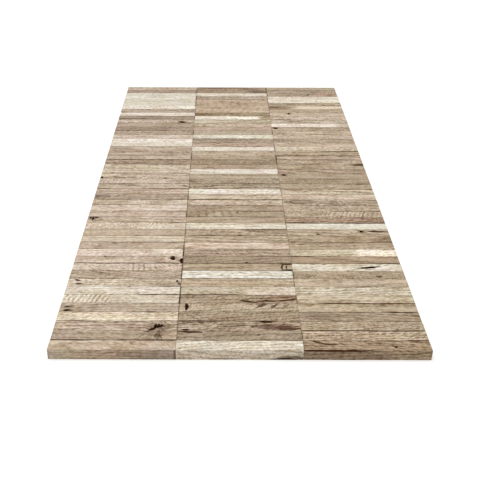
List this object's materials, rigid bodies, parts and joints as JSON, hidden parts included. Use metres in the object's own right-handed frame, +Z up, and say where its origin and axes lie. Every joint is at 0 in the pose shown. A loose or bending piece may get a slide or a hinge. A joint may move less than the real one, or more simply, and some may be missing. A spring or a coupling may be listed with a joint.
{
  "type": "finger parquet panel",
  "caption": "Flat rectangular panel of narrow sawn oak strips laid side by side in three columns, with open knots; glued down edge to edge as a solid wood floor.",
  "frame": {"origin": "middle of the underside, on the subfloor", "axes": "+X along the strips, +Y across them from the front row to the back row, +Z up out of the walking face"},
  "size_m": [0.4804, 0.9694, 0.015],
  "materials": {
    "oak_sapwood": "sawn, unfinished",
    "oak_pale": "sawn, unfinished",
    "oak_heartwood": "sawn, unfinished",
    "oak_brown": "sawn, unfinished"
  },
  "bodies": {
    "root": {"left_sapwood_strips": "oak_sapwood", "left_pale_strips": "oak_pale", "left_heartwood_strips": "oak_heartwood", "left_brown_strips": "oak_brown", "middle_sapwood_strips": "oak_sapwood", "middle_pale_strips": "oak_pale", "middle_heartwood_strips": "oak_heartwood", "middle_brown_strips": "oak_brown", "right_sapwood_strips": "oak_sapwood", "right_pale_strips": "oak_pale", "right_heartwood_strips": "oak_heartwood", "right_brown_strips": "oak_brown"}
  },
  "joints": []
}
